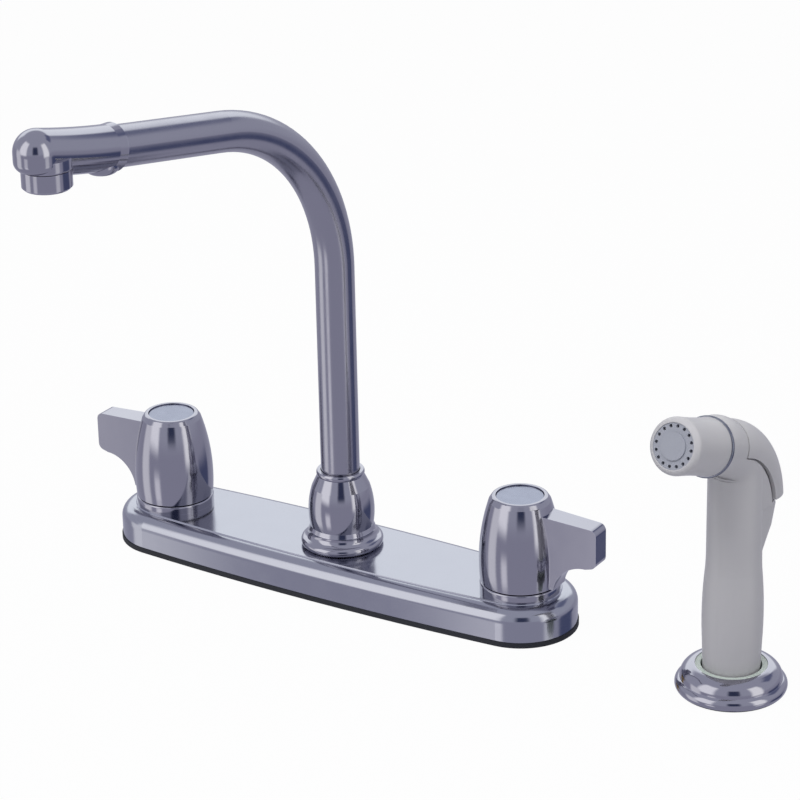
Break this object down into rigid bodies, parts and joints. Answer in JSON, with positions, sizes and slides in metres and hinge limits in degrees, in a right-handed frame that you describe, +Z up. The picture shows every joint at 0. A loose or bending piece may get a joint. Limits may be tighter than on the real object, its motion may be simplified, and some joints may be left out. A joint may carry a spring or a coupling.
{
  "type": "two handle kitchen faucet with side spray",
  "caption": "Deck mounted kitchen faucet: long deck plate, wing handles with round index buttons, high bent swivel spout, and a pull-out side spray in its own deck holder.",
  "frame": {"origin": "on the face of the sink deck, on the axis that the spout turns about", "axes": "+X towards the right handle and the side spray, -Y to the front over the sink, +Z up"},
  "size_m": [0.3902, 0.2249, 0.3325],
  "materials": {
    "chrome_plate": "bright chrome plate, worn soft",
    "brass": "machined, unplated",
    "black_rubber": "moulded",
    "stainless_steel": "plain",
    "white_plastic": "moulded, semi-gloss",
    "grey_white_plastic": "moulded, semi-gloss",
    "pale_plastic": "pale translucent, moulded",
    "grey_plastic": "moulded"
  },
  "bodies": {
    "base": {"bonnet_nuts": "brass", "deck_plate": "chrome_plate", "diverter_cage": "grey_plastic", "holder_nut": "grey_plastic", "holder_ring": "chrome_plate", "holder_sleeve": "pale_plastic", "holder_washer": "grey_plastic", "left_handle_collar": "chrome_plate", "left_inlet_shank": "brass", "left_valve_cartridge": "brass", "mounting_nuts": "brass", "mounting_washers": "stainless_steel", "plate_gasket": "black_rubber", "right_handle_collar": "chrome_plate", "right_inlet_shank": "brass", "right_valve_cartridge": "brass", "seat_springs": "stainless_steel", "spout_base_ring": "chrome_plate", "spout_bearing_washer": "grey_plastic", "spout_nut": "chrome_plate", "spray_outlet_nipple": "brass", "valve_body": "brass", "valve_seats": "black_rubber"},
    "spout": {"spout_tube": "chrome_plate", "spout_collar": "brass", "spout_o_rings": "black_rubber", "spout_head": "chrome_plate", "head_set_screw": "stainless_steel", "aerator_shell": "chrome_plate", "aerator_washer": "black_rubber", "aerator_insert": "grey_plastic", "aerator_screen": "stainless_steel"},
    "left_handle": {"left_handle": "chrome_plate", "left_index_button": "chrome_plate", "left_handle_screw": "stainless_steel", "left_stem": "brass", "left_stem_o_ring": "black_rubber"},
    "right_handle": {"right_handle": "chrome_plate", "right_index_button": "chrome_plate", "right_handle_screw": "stainless_steel", "right_stem": "brass", "right_stem_o_ring": "black_rubber"},
    "side_spray": {"spray_body": "white_plastic", "spray_nozzle": "white_plastic", "trim_ring": "chrome_plate", "spray_face": "grey_white_plastic", "spray_coupling_nut": "white_plastic", "hose_nipple": "brass", "hose_washer": "black_rubber", "lever_pin": "stainless_steel", "valve_guide": "grey_plastic"},
    "thumb_lever": {"thumb_lever": "white_plastic"},
    "spray_valve": {"spray_plunger": "brass", "plunger_seal": "black_rubber", "valve_spring": "stainless_steel"},
    "diverter": {"diverter_piston": "grey_plastic"}
  },
  "joints": [
    {"name": "spout_swivel", "type": "hinge", "parent": "base", "child": "spout", "pos_m": [0, 0, 0.044], "axis": [0, 0, 1], "range_deg": [-81.3, 98.7]},
    {"name": "left_handle_turn", "type": "hinge", "parent": "base", "child": "left_handle", "pos_m": [-0.1016, 0, 0.03], "axis": [0, 0, 1], "range_deg": [0, 90]},
    {"name": "right_handle_turn", "type": "hinge", "parent": "base", "child": "right_handle", "pos_m": [0.1016, 0, 0.03], "axis": [0, 0, 1], "range_deg": [-90, 0]},
    {"name": "side_spray_lift", "type": "slide", "parent": "base", "child": "side_spray", "axis": [0, 0, 1], "range_m": [0, 0.1]},
    {"name": "thumb_lever_press", "type": "hinge", "parent": "side_spray", "child": "thumb_lever", "pos_m": [0.21854, -0.01397, 0.131], "axis": [-0.9934, 0.1149, 0], "range_deg": [0, 3], "stiffness_Nm_per_rad": 0.8, "springref_deg": -5.73},
    {"name": "spray_valve_slide", "type": "slide", "parent": "side_spray", "child": "spray_valve", "axis": [-0.1149, -0.9934, 0], "range_m": [0, 0.0017]},
    {"name": "diverter_slide", "type": "slide", "parent": "base", "child": "diverter", "axis": [0, 0, 1], "range_m": [0, 0.0025]}
  ],
  "couplings": [
    {"joint": "spray_valve_slide", "follows": "thumb_lever_press", "m_per_rad": 0.0325}
  ]
}
